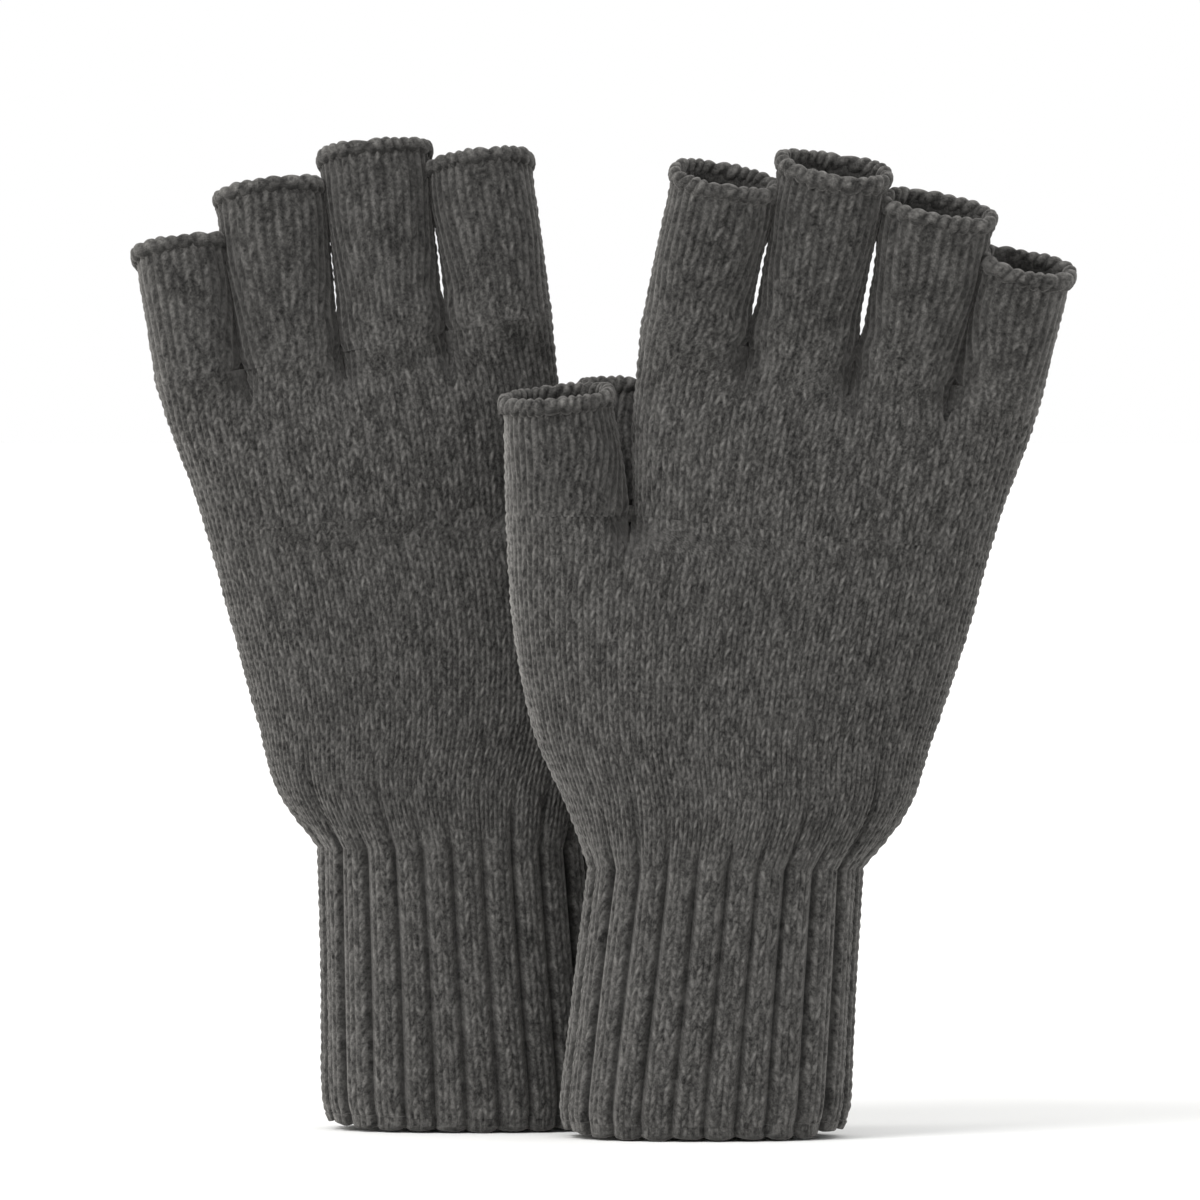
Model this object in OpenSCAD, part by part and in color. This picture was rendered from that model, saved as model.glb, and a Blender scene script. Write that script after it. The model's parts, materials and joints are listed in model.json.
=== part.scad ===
// A pair of ribbed-cuff fingerless gloves, knitted as tubes: a hand that forks into a thumb
// stall and four finger stalls, each open at the tip.
// Each glove is drawn in its own frame, with the origin at the middle of the wrist, +Z towards
// the fingers, the thumb towards +X and the palm of the hand towards +Y. The right glove is the
// same glove turned half way round, so it stands with its palm to the front.

/* [Cuff] */
// Width of the ribbed cuff at the wrist
wrist_w = 61.5; // [52:0.5:66]
// Thickness of the ribbed cuff at the wrist
wrist_t = 39; // [30:1:44]
// Width of the cuff at its hem
hem_w = 66; // [60:1:70]
// Thickness of the cuff at its hem
hem_t = 42; // [36:1:46]
// Height of the bound hem
hem_h = 3.2; // [2:0.2:6]
// Number of elastic threads knitted into the cuff
elastic_count = 8; // [4:1:12]

/* [Hand] */
// Height of the thumb fork above the wrist
fork_h = 78; // [70:1:86]
// Width across the four finger stalls at the knuckles
knuckle_w = 91.5; // [84:0.5:94]
// Thickness of the glove at the knuckles
knuckle_t = 24; // [22:0.5:28]
// How far the knuckle line rises from the little finger to the index finger, in degrees
knuckle_tilt = 10.5; // [6:0.5:14]
// Thickness of the knitted fabric
wall = 2.2; // [1.6:0.1:3]

/* [Stalls] */
// Length of the index, middle, ring and little stalls, from the knuckle line to the rim
stall_len = [37.8, 44.8, 40.2, 31.2]; // [25:0.5:50]
// Width of the index, middle, ring and little stalls at the rim
stall_tip_w = [23, 23, 23.2, 20.2]; // [16:0.1:24]
// Share of the knuckle width that each stall takes, index to little
stall_share = [24.5, 24, 22.5, 20.5]; // [18:0.5:26]
// Thickness of a finger stall at the knuckle line
stall_base_t = 21; // [18:0.5:22]
// Thickness of a finger stall at the rim
stall_tip_t = 19; // [16:0.5:21]
// How far the finger stalls curl towards the palm, in degrees
curl = 12; // [0:1:16]
// Length of the thumb stall, from the fork to the rim, left and right glove
thumb_len = [25.5, 28]; // [24:0.5:36]
// Width of the thumb stall at the fork and at the rim
thumb_w = [27, 23.6]; // [20:0.2:28]
// Thickness of the thumb stall at the fork and at the rim
thumb_t = [25, 20]; // [18:0.5:26]
// Height of the cast-off rim round each stall's opening
rim_h = 2.4; // [1.6:0.2:4]

/* [Pair] */
// Height of the wrist above the ground, left and right glove
wrist_z = [63, 59.5]; // [58:0.5:68]
// Place of the wrist from side to side, left and right glove
wrist_x = [-31.1, 29.4]; // [-34:0.1:32]
// How far the right glove stands in front of the left one
pair_depth = 32; // [31:0.5:40]

/* [Hidden] */
LEFT = 0;
RIGHT = 1;
THUMB = 4;
FINGERS = ["index", "middle", "ring", "little", "thumb"];

// Lean of each finger stall from upright towards the little finger's side, per glove
stall_lean = [[7, 6.2, 7.2, 9.2], [10.8, 10, 11.5, 13]];
thumb_lean = -5.6;
// Curl of the thumb stall towards the palm, per glove
thumb_curl = [10, 5];
thumb_x = 36.9;
// Middle of the knuckle line
knuckle = [-24, 0, 111.2];
// Gap that each fabric fold line needs to turn without rubbing
fold_gap = 0.3;
// How far the hand leans the wrist towards the thumb, and the height where that lean ends
wrist_lean = [-1.5, 1.7];
lean_end = 50;
// How far the middle of the hem lies towards the thumb from the middle of the wrist, per glove
hem_shift = [3, 5];
elastic_d = 1;
elastic_bite = 0.2;
tack_d = 2.2;
tack_stand = 0.5;
rim_flare = 1;
hem_flare = 1.2;
// Roundness of a section: 2 is an ellipse, more is squarer
squareness = 2.3;
ring_steps = 32;

// Sections of the hand below the thumb fork: height, reach to the little finger's side, reach to
// the thumb's side, thickness
lower_rows = [
    [0, wrist_w / 2, wrist_w / 2, wrist_t],
    [12, 39.7, 35.5, 37],
    [28, 45, 43, 34],
    [50, 51.4, 48.5, 32],
    [fork_h, 59.5, 50.5, 30]
];
// Sections of the hand above the fork, up to the tilted knuckle line
upper_rows = [
    [fork_h, 59.5, 22, 29],
    [95, 66, 22.4, 27]
];

colour = [0.27, 0.265, 0.26];
rim_colour = [0.33, 0.325, 0.32];
elastic_colour = [0.16, 0.16, 0.17];

// A section: its middle, lean, curl, width and thickness
function section(at, lean, tip, w, t) = [at, lean, tip, w, t];
function lean_at(side, z) = wrist_lean[side] * max(0, 1 - z / lean_end);
function row_section(side, r) =
    section([(r[2] - r[1]) / 2 + lean_at(side, r[0]), 0, r[0]], 0, 0, r[1] + r[2], r[3]);

function signed_pow(x, p) = sign(x) * pow(abs(x), p);
function oval(w, t, a) = [
    w / 2 * signed_pow(cos(a), 2 / squareness),
    t / 2 * signed_pow(sin(a), 2 / squareness)
];
function turn_x(p, a) = [p[0], p[1] * cos(a) - p[2] * sin(a), p[1] * sin(a) + p[2] * cos(a)];
function turn_y(p, a) = [p[0] * cos(a) + p[2] * sin(a), p[1], p[2] * cos(a) - p[0] * sin(a)];
function ring(s, inset) = [
    for (k = [0:ring_steps - 1])
        let (p = oval(s[3] - 2 * inset, s[4] - 2 * inset, 360 * k / ring_steps))
            s[0] + turn_y(turn_x([p[0], p[1], 0], -s[2]), -s[1])
];
// Direction that a section with this lean and curl faces
function facing(lean, tip) = turn_y(turn_x([0, 0, 1], -tip), -lean);

// A knitted tube with open ends, through a list of sections from the bottom up
module tube(sections, thick = wall) {
    n = ring_steps;
    last = len(sections) - 1;
    points = [for (s = sections) each ring(s, 0), for (s = sections) each ring(s, thick)];
    inner = n * (last + 1);
    skin = [
        for (i = [0:last - 1], k = [0:n - 1])
            let (a = i * n + k, b = i * n + (k + 1) % n, c = b + n, d = a + n)
                each [[a, d, c], [a, c, b], [inner + a, inner + b, inner + c],
                    [inner + a, inner + c, inner + d]]
    ];
    ends = [
        for (k = [0:n - 1])
            let (a = k, b = (k + 1) % n, c = last * n + k, d = last * n + (k + 1) % n)
                each [[a, b, inner + b], [a, inner + b, inner + a],
                    [c, inner + d, d], [c, inner + c, inner + d]]
    ];
    polyhedron(points, concat(skin, ends), convexity = 6);
}

module place(side) {
    translate([wrist_x[side], pair_depth * (0.5 - side), wrist_z[side]])
        rotate([0, 0, 180 * side]) children();
}

function between(a, b, f) = a + (b - a) * f;
// The cuff's section at a height above the ground
function cuff_section(side, z, grow = 0) = let (f = (wrist_z[side] - z) / wrist_z[side])
    section([wrist_lean[side] + hem_shift[side] * f, 0, z - wrist_z[side]], 0, 0,
        between(wrist_w, hem_w, f) + grow, between(wrist_t, hem_t, f) + grow);

module oval_face(w, t) {
    polygon([for (k = [0:ring_steps - 1]) oval(w, t, 360 * k / ring_steps)]);
}

module cuff_hem(side) {
    color(rim_colour) place(side)
        translate([wrist_lean[side] + hem_shift[side], 0, -wrist_z[side]])
            linear_extrude(hem_h) difference() {
                oval_face(hem_w + hem_flare, hem_t + hem_flare);
                oval_face(hem_w - 2 * wall, hem_t - 2 * wall);
            }
}

module cuff(side) {
    color(colour) place(side)
        tube([for (f = [0, 0.5, 1]) cuff_section(side, between(hem_h, wrist_z[side] - fold_gap, f))]);
}

module cuff_elastic(side) {
    color(elastic_colour) place(side)
        for (i = [1:elastic_count]) {
            z = between(hem_h, wrist_z[side], i / (elastic_count + 1));
            grow = 2 * elastic_bite - 2 * wall;
            tube([cuff_section(side, z - elastic_d / 2, grow), cuff_section(side, z + elastic_d / 2, grow)],
                elastic_d);
        }
}

module lower_hand(side) {
    color(colour) place(side) tube([for (r = lower_rows) row_section(side, r)]);
}

module upper_hand(side) {
    color(colour) place(side)
        tube(concat([for (r = upper_rows) row_section(side, r)],
            [section(knuckle, knuckle_tilt, 0, knuckle_w, knuckle_t)]));
}

// Where each finger stall's middle lies along the knuckle line, from its thumb end
function share_before(i) = i == 0 ? 0 : stall_share[i - 1] + share_before(i - 1);
function stall_along(i) = knuckle_w / 2 - share_before(i) - stall_share[i] / 2;
function fork_along(i) = knuckle_w / 2 - share_before(i + 1);
function on_knuckle(along, up = 0) = knuckle + turn_y([along, 0, up], -knuckle_tilt);

// Yarn tacks that close the three finger forks and the thumb fork
module fork_tacks(side) {
    drop = tack_d / 2 + fold_gap;
    color(rim_colour) place(side) {
        for (i = [0:2])
            tack(on_knuckle(fork_along(i), -drop), knuckle_t);
        tack([(upper_rows[0][2] + thumb_x - thumb_w[0] / 2) / 2, 0, fork_h - drop], lower_rows[4][3] - tack_d);
    }
}

module tack(at, thick) {
    translate(at) rotate([90, 0, 0])
        cylinder(d = tack_d, h = thick + 2 * tack_stand, center = true, $fn = 24);
}

// A stall's first section lies in its fold line's plane, and the rest face along the stall
function stall_sections(base, base_lean, lean, tip, w, t, long) = let (way = facing(lean, tip)) [
    section(base, base_lean, 0, w[0], t[0]),
    section(base + way * long * 0.35, lean, tip, between(w[0], w[1], 0.35), between(t[0], t[1], 0.35)),
    section(base + way * long, lean, tip, w[1], t[1])
];
function finger_sections(side, i) = stall_sections(on_knuckle(stall_along(i), fold_gap), knuckle_tilt,
    stall_lean[side][i], curl, [stall_share[i] - 0.6, stall_tip_w[i]], [stall_base_t, stall_tip_t],
    stall_len[i] - rim_h);
function thumb_sections(side) = stall_sections([thumb_x, 0, fork_h + fold_gap], 0, thumb_lean,
    thumb_curl[side], thumb_w, thumb_t, thumb_len[side] - rim_h);
function sections_of(side, i) = i == THUMB ? thumb_sections(side) : finger_sections(side, i);

module stall(side, i) {
    color(colour) place(side) tube(sections_of(side, i));
}

// The cast-off edge rolls out a little, so the rim is a bulged ring
module rim(side, i) {
    end = sections_of(side, i)[2];
    way = facing(end[1], end[2]);
    flares = [0.2, rim_flare, 0.3];
    color(rim_colour) place(side)
        tube([for (k = [0:2])
            section(end[0] + way * rim_h * k / 2, end[1], end[2], end[3] + flares[k], end[4] + flares[k])]);
}

for (side = [LEFT, RIGHT]) {
    prefix = side == LEFT ? "left_" : "right_";
    cuff_hem(side);
    cuff(side);
    cuff_elastic(side);
    lower_hand(side);
    upper_hand(side);
    fork_tacks(side);
    for (i = [0:THUMB]) {
        stall(side, i);
        rim(side, i);
    }
}
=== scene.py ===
"""A pair of ribbed-cuff fingerless gloves in heathered charcoal wool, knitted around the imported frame.

Each glove is worked out in its own frame, in millimetres: x towards the thumb, y towards the palm
and z towards the fingers, with the origin in the middle of the wrist. A knitted tube is a grid of
stitches: w counts the wales across the glove from the little finger's side, and c the courses up
from the wrist. The two faces of a tube mirror each other in shape, but the back's wales are numbered
on from BACK, so that the yarn doesn't mirror too.
"""
import json
import math

import bpy
import numpy as np
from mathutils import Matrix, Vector


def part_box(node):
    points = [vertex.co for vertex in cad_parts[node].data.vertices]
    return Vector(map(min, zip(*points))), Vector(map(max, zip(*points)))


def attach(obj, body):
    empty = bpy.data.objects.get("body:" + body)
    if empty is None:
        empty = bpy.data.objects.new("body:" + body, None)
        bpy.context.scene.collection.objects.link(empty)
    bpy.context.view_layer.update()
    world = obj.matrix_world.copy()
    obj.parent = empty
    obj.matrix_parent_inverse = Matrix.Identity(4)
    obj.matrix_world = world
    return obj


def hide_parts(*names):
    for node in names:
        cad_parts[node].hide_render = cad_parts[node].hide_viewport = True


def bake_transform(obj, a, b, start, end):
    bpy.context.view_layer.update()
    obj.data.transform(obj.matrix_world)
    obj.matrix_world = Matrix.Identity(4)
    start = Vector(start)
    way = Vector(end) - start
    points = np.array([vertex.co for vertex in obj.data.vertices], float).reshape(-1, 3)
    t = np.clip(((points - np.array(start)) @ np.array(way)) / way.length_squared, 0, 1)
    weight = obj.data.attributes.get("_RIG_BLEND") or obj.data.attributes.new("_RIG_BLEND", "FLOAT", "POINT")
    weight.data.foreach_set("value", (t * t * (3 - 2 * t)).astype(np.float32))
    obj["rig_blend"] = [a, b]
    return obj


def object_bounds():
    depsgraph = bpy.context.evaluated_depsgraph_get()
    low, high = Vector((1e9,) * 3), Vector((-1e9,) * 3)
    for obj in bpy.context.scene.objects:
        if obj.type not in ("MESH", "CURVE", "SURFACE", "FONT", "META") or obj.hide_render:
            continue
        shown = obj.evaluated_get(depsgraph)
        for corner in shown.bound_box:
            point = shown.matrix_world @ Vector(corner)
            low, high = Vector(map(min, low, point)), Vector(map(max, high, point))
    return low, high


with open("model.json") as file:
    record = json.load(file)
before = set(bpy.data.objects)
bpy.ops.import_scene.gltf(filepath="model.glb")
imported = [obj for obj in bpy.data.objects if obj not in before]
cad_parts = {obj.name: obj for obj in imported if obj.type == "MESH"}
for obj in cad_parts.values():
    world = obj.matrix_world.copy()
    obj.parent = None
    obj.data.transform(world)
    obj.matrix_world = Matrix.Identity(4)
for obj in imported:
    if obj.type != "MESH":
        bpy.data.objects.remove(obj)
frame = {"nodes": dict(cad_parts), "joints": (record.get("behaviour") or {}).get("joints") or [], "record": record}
CAD_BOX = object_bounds()

MM = 0.001
JOINTS = {joint["name"]: joint for joint in frame["joints"]}
MOUNTS = {mount["name"]: mount for mount in frame["record"]["mounts"]}
SIDES = ("left", "right")
SECTION_POINTS = 32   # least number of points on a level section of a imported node

# All lengths below are in millimetres unless a comment says otherwise.

# The knit's gauge, and the grid that carries it
WALE = 3.2            # in the middle of its range: the palm's wales are narrower and the stalls' wider
COURSE = 2.3
COLUMNS = 8           # grid columns in a wale
ROWS = 5              # grid rows in a course
WALL = 2.2
SQUARENESS = 2.3      # of a section: 2 is an ellipse, more is squarer

# A stitch: each pair is for slack fabric, on the hand, and for fabric stretched round a finger
SLANT = (1.2, 1.55)   # courses that a stitch's leg climbs across half a wale
DIP = (0.25, 0.55)    # height between two stitches of a wale, against the stitches' own
NARROWNESS = (1.7, 1.3)
STRETCH_DARKNESS = 0.25
STITCH_RELIEF = 0.66
STITCH_DEPTH = 0.35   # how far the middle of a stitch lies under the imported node's surface
WALE_WANDER = 0.08    # how far a stitch strays from its place, in wales and in courses
COURSE_WANDER = 0.3
UNEVENNESS = 0.4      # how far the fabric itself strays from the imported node's surface
INNER_RELIEF = 0.3    # what the plain inside counts as: how far out of its groove, for its painted shade, and what tone
INNER_TONE = 0.4

# The cuff's rib, and how it gives way to the palm's plain knit above the wrist
RIBS = 12             # on each face of the cuff
RIB_COLUMNS = 26
RIB_SLANT = 1.1
RIB_DIP = 0.3
RIB_NARROWNESS = 1.7
RIB_RELIEF = 1.55
RIB_STITCH = 0.78     # share of a rib's width that its two wales cover
RIB_WANDER = 0.09     # how far a rib strays from its place, in ribs
RIB_TOP = 8           # height where its stitches are all gone
RIB_FADE = 11         # and the height over which they go
VALLEY_TOP = 9        # the same for a valley, which each rise lifts and lengthens
VALLEY_FADE = 13
VALLEY_STRETCH = 0.6

# The hem, at the cuff's lower edge
SCALLOP = 0.7         # how far the hem lifts under each valley of the rib
HEM_UNEVENNESS = 0.35
HEM_CORNER = 2.2      # how far the hem's corners round off, up and inwards
HEM_DRAW = 1.5        # how far each side of the cuff draws in at the hem, and over what height
HEM_CURVE = 1.9
HEM_TUCK = 0.5        # how far the hem reaches up inside the cuff's wall
HEM_LEAST = 0.6       # least depth of the hem

# The rims, at the stalls' open ends
RIM_COLUMNS = 14      # along a rim, for each wale
RIM_SIDES = 16
RIM_RADIUS = 1.5
RIM_LOOPS = 1.375     # cast-off loops for each wale
RIM_LIP = 0.5         # how far a rim's edge wanders up and down
RIM_FLARE = 0.4       # how far a rim flares out at its two ends
RIM_SHADOW = 0.65     # how much darker the fabric is right under a rim
RIM_SHADOW_REACH = 1.6
CORD_GIRTH = 1.6      # yarn round a rim or the hem, for each radian

# The elastic threads in the cuff, and the tacks in the forks
THREAD = 0.45         # radius
THREAD_SIDES = 8
TACK = 0.55           # radius
TACK_SIDES = 8
TACK_STEPS = 15       # along one tack
TACK_SPACING = 0.9
TACK_ARC = 0.62 * np.pi
TACK_REACH = 2.4      # half of a tack's depth through the glove
TACK_HEIGHT = 2.3
TACK_SINK = 0.6       # how far the middle of a tack's arc lies under the fork

# Wales: the side seams of the palm, and the middle and the count of each stall's face
PALM_WALES = (0.0, 33.0)
THUMB_SIDE_WALE = 44.0
BACK = 88             # what the back's wales have added to them
BACK_RIBS = 24        # and its ribs
STALLS = {
    "little": (3.5, 7),
    "ring": (11.0, 8),
    "middle": (19.5, 9),
    "index": (28.5, 9),
    "thumb": (38.5, 11),
}
FINGERS = ("little", "ring", "middle", "index")
SIDE_HIGHLIGHT_WIDTH = 1.3      # in wales, of the painted highlight along the thumb's side fold
SIDE_HIGHLIGHT = 1.0   # how much painted highlight that fold gets, on top of its groove shading

# The hand and its forks
HAND_LENGTHS = {"lower_hand": 78.0, "upper_hand": 38.0}
THUMB_COURSE = 34     # the courses where the thumb and the fingers fork off
FINGER_COURSE = 51
FORK_SLOPE = 0.105    # rise of the course that meets the thumb fork, across the palm
FORK_BLEND = 12.0     # how far below a fork the fabric starts to part
FORK_SHARPNESS = 1.3  # a power: the higher, the nearer to the fork it parts
FORK_GROOVE = 3.2     # half width of the painted shade in the groove at a fork; the next line sets how dark it is painted
FORK_SHADE_STRENGTH = 0.96
FORK_SHADE = 0.45     # a power: the lower, the further down the groove runs

# The stalls. Their sides swell against their neighbours; heights are shares of a stall's length
TUCK = 0.4            # how far a stall's first course reaches in under the fork
STALL_TURN = 0.6      # height by which a stall has turned from the knuckle line to its own way
STALL_SWELL = (0.3, 0.75, -0.1)   # at the fork, then added right above it, and added by the rim
SWELL_HEIGHT = 0.08
SLIT_START = 0.12     # where the slits between the fingers start to open, and how fast
SLIT_OPENING = 0.16
SLIT_END = 0.86       # where they have closed, and how fast
SLIT_CLOSING = 0.3
# How open the slit between each two fingers is halfway up, from the little finger's side
SLITS = {"left": (0.1, 0.62, 1.0), "right": (0.15, 0.95, 1.0)}
STALL_ARCH = 0.7      # how far a stall's rim dips at its sides, and twice that at the palm

# How far along the fabric each fold spreads when a joint bends it
WRIST_BEND = 26
FINGER_BEND = 22

RANDOM = np.random.RandomState(7)
STITCH_LUCK = RANDOM.uniform(0.72, 1.1, (97, 89))    # height of each stitch: wales by courses
LEG_TONE = RANDOM.uniform(0, 1, (193, 89))           # tone of each leg of a stitch
LUCKY_WALES, LUCKY_COURSES = STITCH_LUCK.shape
TONE_WALES = len(LEG_TONE)
VALLEY_RISE = 30 * RANDOM.uniform(0, 1, RIBS + 1) ** 1.5   # how far each valley runs up past the wrist


# ---------------------------------------------------------------- curves and sections

def smoothstep(x):
    x = np.clip(x, 0, 1)
    return x * x * (3 - 2 * x)


def mix(a, b, share):
    return a + (b - a) * share


def through(x, knots, values):
    """A smooth curve through the knots, read at x."""
    knots = np.asarray(knots, float)
    values = np.asarray(values, float)
    slopes = np.gradient(values, knots)
    x = np.clip(x, knots[0], knots[-1])
    i = np.clip(np.searchsorted(knots, x, side="right") - 1, 0, len(knots) - 2)
    span = knots[i + 1] - knots[i]
    t = (x - knots[i]) / span
    return (
        values[i] * (1 + 2 * t) * (1 - t) ** 2
        + values[i + 1] * t * t * (3 - 2 * t)
        + slopes[i] * span * t * (1 - t) ** 2
        - slopes[i + 1] * span * t * t * (1 - t)
    )


def unit(vectors):
    return vectors / np.linalg.norm(vectors, axis=-1, keepdims=True)


def bulge(x, low, high, half):
    """Half the thickness at x of a rounded section that reaches from low to high."""
    s = np.clip(np.abs((2 * x - low - high) / (high - low)), 0, 1)
    return half * (1 - s**SQUARENESS) ** (1 / SQUARENESS)


def arc_lengths(points):
    steps = np.linalg.norm(np.diff(points, axis=0), axis=1)
    return np.concatenate(([0], np.cumsum(steps)))


def wander(a, b):
    """A slow, smooth wave of about one unit over a surface, that never quite repeats."""
    return (
        np.sin(0.37 * a + 0.9 * np.sin(0.21 * b))
        + np.sin(0.31 * b + 1.3 + 0.8 * np.sin(0.27 * a))
        + np.sin(0.19 * (a + b) + 2.1)
    ) / 3


# ---------------------------------------------------------------- the knit's relief

def legs(across, wale, c, slant, dip, narrowness):
    """Height of the V stitches' legs, 0 in the grooves and 1 on the yarn, and the tone of each leg.
    Across runs from the wale's middle line, at 0, to its edges, at -1 and 1."""
    off = np.abs(across)
    climb = c - slant * off
    row = np.floor(climb + 0.5).astype(int) % LUCKY_COURSES
    strand = dip + (1 - dip) * (0.5 + 0.5 * np.cos(2 * np.pi * climb)) ** 0.7
    leg = np.clip(1 - np.abs(2 * off - 1) ** narrowness, 0, 1)
    wale = np.floor(wale).astype(int)
    luck = STITCH_LUCK[wale % LUCKY_WALES, row]
    return strand * leg * luck, LEG_TONE[(2 * wale + (across > 0)) % TONE_WALES, row]


def jersey(w, c, stretch):
    """Plain knit, whose stitches stray a little from their places."""
    place = w % BACK
    w = w + WALE_WANDER * wander(place * 4, c * 2.6)
    c = c + COURSE_WANDER * wander(place * 1.3 + 5, c * 0.8)
    return legs((w % 1) * 2 - 1, w, c, *(mix(*pair, stretch) for pair in (SLANT, DIP, NARROWNESS)))


def yarn_place(w, c):
    """Where a point lies along and across its strand, in millimetres, and its wale."""
    across = np.abs((w % 1) * 2 - 1) * WALE / 2
    up = c * COURSE
    lean = math.atan2(SLANT[0] * COURSE, WALE / 2)
    along_strand = across * math.cos(lean) + up * math.sin(lean)
    across_strand = up * math.cos(lean) - across * math.sin(lean)
    return np.stack((along_strand, across_strand, w), axis=-1)


def rib_shape(rib):
    """The rib's broad ridges and narrow valleys, from -0.5 to 0.5, with a ridge at each half."""
    off = np.abs((rib % 1) - 0.5) * 2
    return 0.5 - off**2.7


def rib_stitch(rib, c):
    """Two wales of V stitches on each ridge, which end where the valley falls away."""
    wale = np.clip(((rib % 1) - 0.5) * 2 / RIB_STITCH + 1, 0, 2)
    height, tone = legs((wale % 1) * 2 - 1, 2 * np.floor(rib) + wale, c,
                        RIB_SLANT, RIB_DIP, RIB_NARROWNESS)
    return 0.75 * height + 0.15, tone


def lumps(points):
    """The slow unevenness of a soft fabric that hangs on nothing stiff."""
    x, y, z = points[..., 0], points[..., 1], points[..., 2]
    return UNEVENNESS * wander(x * 0.3 + y * 0.13, z * 0.27 + y * 0.11)


def fabric(w, c, rib, points, stretch=0.0):
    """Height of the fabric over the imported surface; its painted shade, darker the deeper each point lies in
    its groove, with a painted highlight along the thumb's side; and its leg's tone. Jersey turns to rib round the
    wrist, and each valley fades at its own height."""
    z = points[..., 2]
    place = rib % BACK_RIBS
    rise = VALLEY_RISE[np.clip(np.round(place), 0, RIBS).astype(int)]
    sunk = smoothstep((rise + VALLEY_TOP - z) / (VALLEY_FADE + VALLEY_STRETCH * rise))
    ribbed = smoothstep((RIB_TOP - z) / RIB_FADE)
    rib = rib + RIB_WANDER * wander(place * 4, z * 0.17)
    plain, plain_tone = jersey(w, c, stretch)
    ridged, ridged_tone = rib_stitch(rib, c)
    ridge = rib_shape(rib)
    sunk = sunk * (0.85 + 0.15 * wander(place * 9, z * 0.23))
    body = RIB_RELIEF * (ridge - 0.5) * sunk + lumps(points)
    stitch = mix(plain, ridged, ribbed)
    # Painted shade in the rib's valleys.
    groove_shade = mix(1.0, smoothstep(ridge + 0.75), sunk)
    # Painted highlight: a pale band along the thumb's side fold, added to the shading.
    side = SIDE_HIGHLIGHT * np.exp(-((THUMB_SIDE_WALE - w % BACK) / SIDE_HIGHLIGHT_WIDTH) ** 2)
    # Painted shade: darker in the grooves between strands; fabric stretched over a finger is darker, most in its
    # grooves.
    level = (0.17 + 0.83 * stitch) * groove_shade * (1 - STRETCH_DARKNESS * stretch * (1.7 - stitch)) + side
    tone = np.where(ribbed > 0.5, ridged_tone, plain_tone)
    return body - STITCH_DEPTH + STITCH_RELIEF * (stitch - 0.5), level, tone


# ---------------------------------------------------------------- the glove's form, from the frame

class Glove:
    """One glove's own axes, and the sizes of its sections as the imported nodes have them."""

    def __init__(self, side):
        self.side = side
        wrist = JOINTS[side + "_wrist_fold"]
        low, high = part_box(side + "_lower_hand")
        x_axis = np.array(wrist["axis"], float)
        z_axis = np.array((0.0, 0.0, 1.0))
        self.axes = np.array((x_axis, np.cross(z_axis, x_axis), z_axis))
        self.origin = np.array((wrist["pos_m"][0], (low.y + high.y) / 2, low.z))
        self.cuff_levels = self.levels("cuff")
        self.lower_levels = self.levels("lower_hand")
        self.upper_levels = self.levels("upper_hand")[:2]
        self.measure_knuckles()

    def local(self, points):
        return (np.atleast_2d(points) - self.origin) @ self.axes.T / MM

    def world(self, points):
        return points @ self.axes * MM + self.origin

    def vertices(self, part):
        node = frame["nodes"][self.side + "_" + part]
        return self.local(np.array([v.co for v in node.data.vertices], float))

    def levels(self, part):
        """Each level section of a node: height, least x, greatest x and half thickness."""
        points = self.vertices(part)
        heights = np.round(points[:, 2], 1)
        found = []
        for height in np.unique(heights):
            ring = points[heights == height]
            if len(ring) >= SECTION_POINTS:
                found.append((height, ring[:, 0].min(), ring[:, 0].max(), ring[:, 1].max()))
        return np.array(found)

    def joint_place(self, finger):
        return self.local(JOINTS[f"{self.side}_{finger}_bend"]["pos_m"])[0]

    def base_ring(self, finger):
        """The stall's lowest section: its two ends along the fold line, and its half thickness."""
        across = -self.axes @ np.array(JOINTS[f"{self.side}_{finger}_bend"]["axis"], float)
        up = np.array((-across[2], 0, across[0]))
        points = self.vertices(finger + "_stall") - self.joint_place(finger)
        ring = points[points @ up < 0.4]
        middle = self.joint_place(finger) * (1, 0, 1)
        reach = ring @ across
        return middle + across * reach.min(), middle + across * reach.max(), np.ptp(ring[:, 1]) / 2

    def measure_knuckles(self):
        rings = [self.base_ring(finger) for finger in FINGERS]
        forks = [(a[1] + b[0]) / 2 for a, b in zip(rings, rings[1:])]
        line = [rings[0][0], *forks, rings[-1][1]]
        whole = np.linalg.norm(line[-1] - line[0])
        self.finger_shares = [np.linalg.norm(point - line[0]) / whole for point in line]
        self.knuckle_low, self.knuckle_high = line[0], line[-1]
        self.knuckle_half = self.top_half("upper_hand")
        self.stall_half = rings[0][2]
        self.thumb_low, self.thumb_high, self.thumb_half = self.base_ring("thumb")

    def top_half(self, part):
        points = self.vertices(part)
        return points[points[:, 2] > points[:, 2].max() - 3][:, 1].max()

    # The glove's outline: how far it reaches on each side at a height

    def little_edge(self, z):
        levels = np.concatenate((self.lower_levels, self.upper_levels[1:]))
        knots = [*levels[:, 0], self.knuckle_low[2]]
        return through(z, knots, [*levels[:, 1], self.knuckle_low[0]])

    def thumb_edge(self, z):
        return through(z, self.lower_levels[:, 0], self.lower_levels[:, 2])

    def index_edge(self, z):
        knots = [*self.upper_levels[:, 0], self.knuckle_high[2]]
        return through(z, knots, [*self.upper_levels[:, 2], self.knuckle_high[0]])

    def fork_height(self, x):
        """Height of the course that meets the thumb fork."""
        height, _, fork_x, _ = self.upper_levels[0]
        return height + FORK_SLOPE * np.minimum(x - fork_x, 0)

    def knuckle_height(self, x):
        run = self.knuckle_high - self.knuckle_low
        return self.knuckle_low[2] + (x - self.knuckle_low[0]) * run[2] / run[0]


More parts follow.
